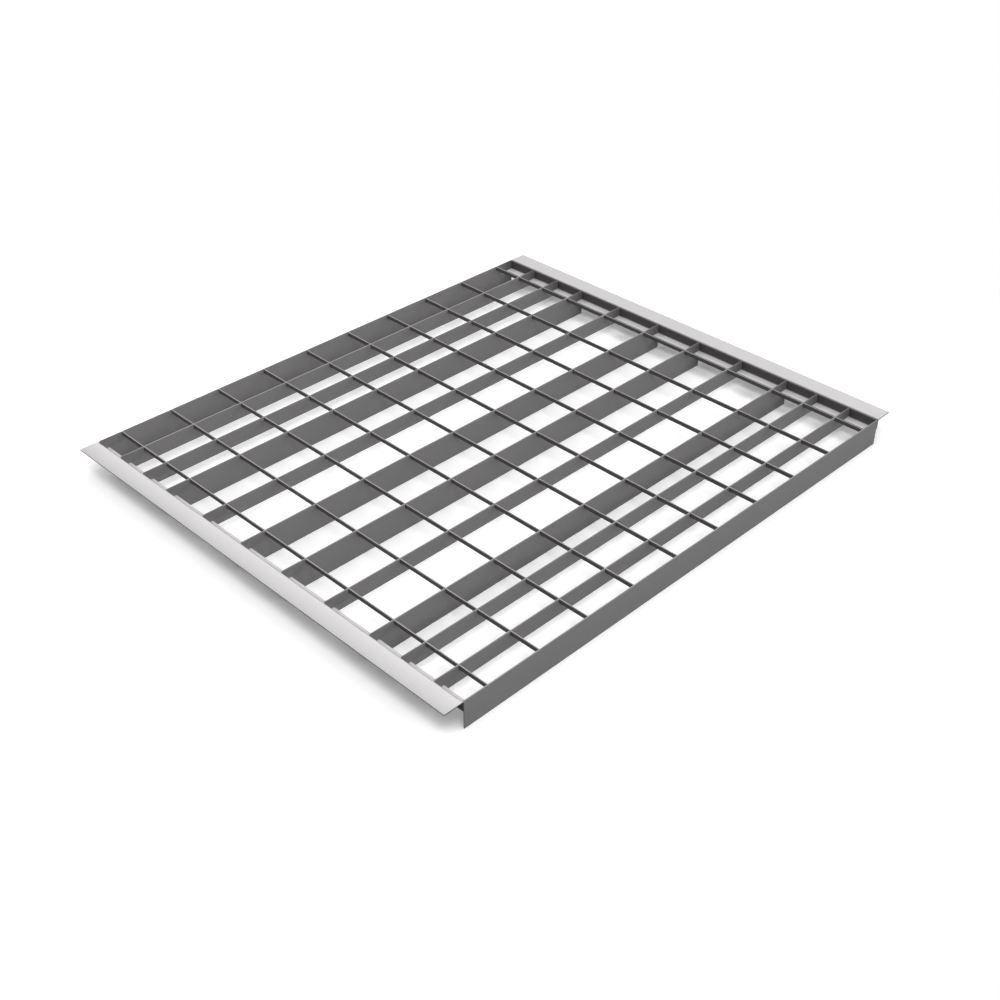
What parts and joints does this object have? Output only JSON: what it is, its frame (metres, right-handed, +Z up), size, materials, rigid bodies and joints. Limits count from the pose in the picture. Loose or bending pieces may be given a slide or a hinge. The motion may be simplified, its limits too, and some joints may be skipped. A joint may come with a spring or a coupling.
{
  "type": "pallet rack mesh deck",
  "caption": "Flat-bar steel grating deck for a pallet rack bay, with a bent Z-section rail along each end that hangs on a rack beam.",
  "frame": {"origin": "under the middle of the deck, level with the lower edges of the deep bars that it lies on", "axes": "+X along the rack's beams, +Y across the rack from the front rail to the back rail, +Z up"},
  "size_m": [0.892, 1.062, 0.05],
  "materials": {
    "zinc_plated_steel": "matt zinc-plated"
  },
  "bodies": {
    "root": {"grating": "zinc_plated_steel", "left_side_bar": "zinc_plated_steel", "right_side_bar": "zinc_plated_steel", "front_rail": "zinc_plated_steel", "back_rail": "zinc_plated_steel"}
  },
  "joints": []
}
